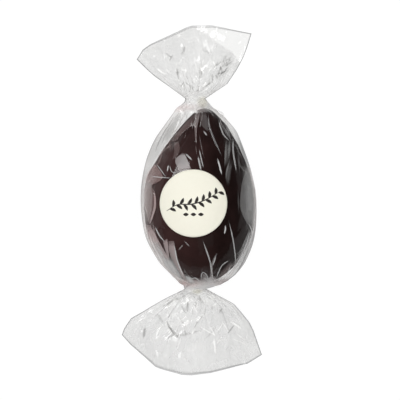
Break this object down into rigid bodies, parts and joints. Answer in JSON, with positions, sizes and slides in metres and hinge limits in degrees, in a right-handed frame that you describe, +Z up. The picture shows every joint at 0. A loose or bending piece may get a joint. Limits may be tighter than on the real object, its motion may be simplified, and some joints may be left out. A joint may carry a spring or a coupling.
{
  "type": "wrapped marzipan egg",
  "caption": "Egg-shaped sweet coated in dark chocolate, in a clear film wrapper twisted at both ends into flared fans, with a plain round label.",
  "frame": {"origin": "on the surface the sweet lies on, under the middle of its bounding box", "axes": "+Z up through the label, +Y along the egg towards its pointed end, +X to the right of the label"},
  "size_m": [0.0626, 0.1558, 0.0504],
  "materials": {
    "clear_film": "clear glossy wrapping film, faintly cream where it is bunched",
    "label_paper": "smooth cream sticker paper",
    "dark_chocolate": "dark chocolate coating, satin"
  },
  "bodies": {
    "root": {"film_wrap": "clear_film", "label": "label_paper"}
  },
  "joints": []
}
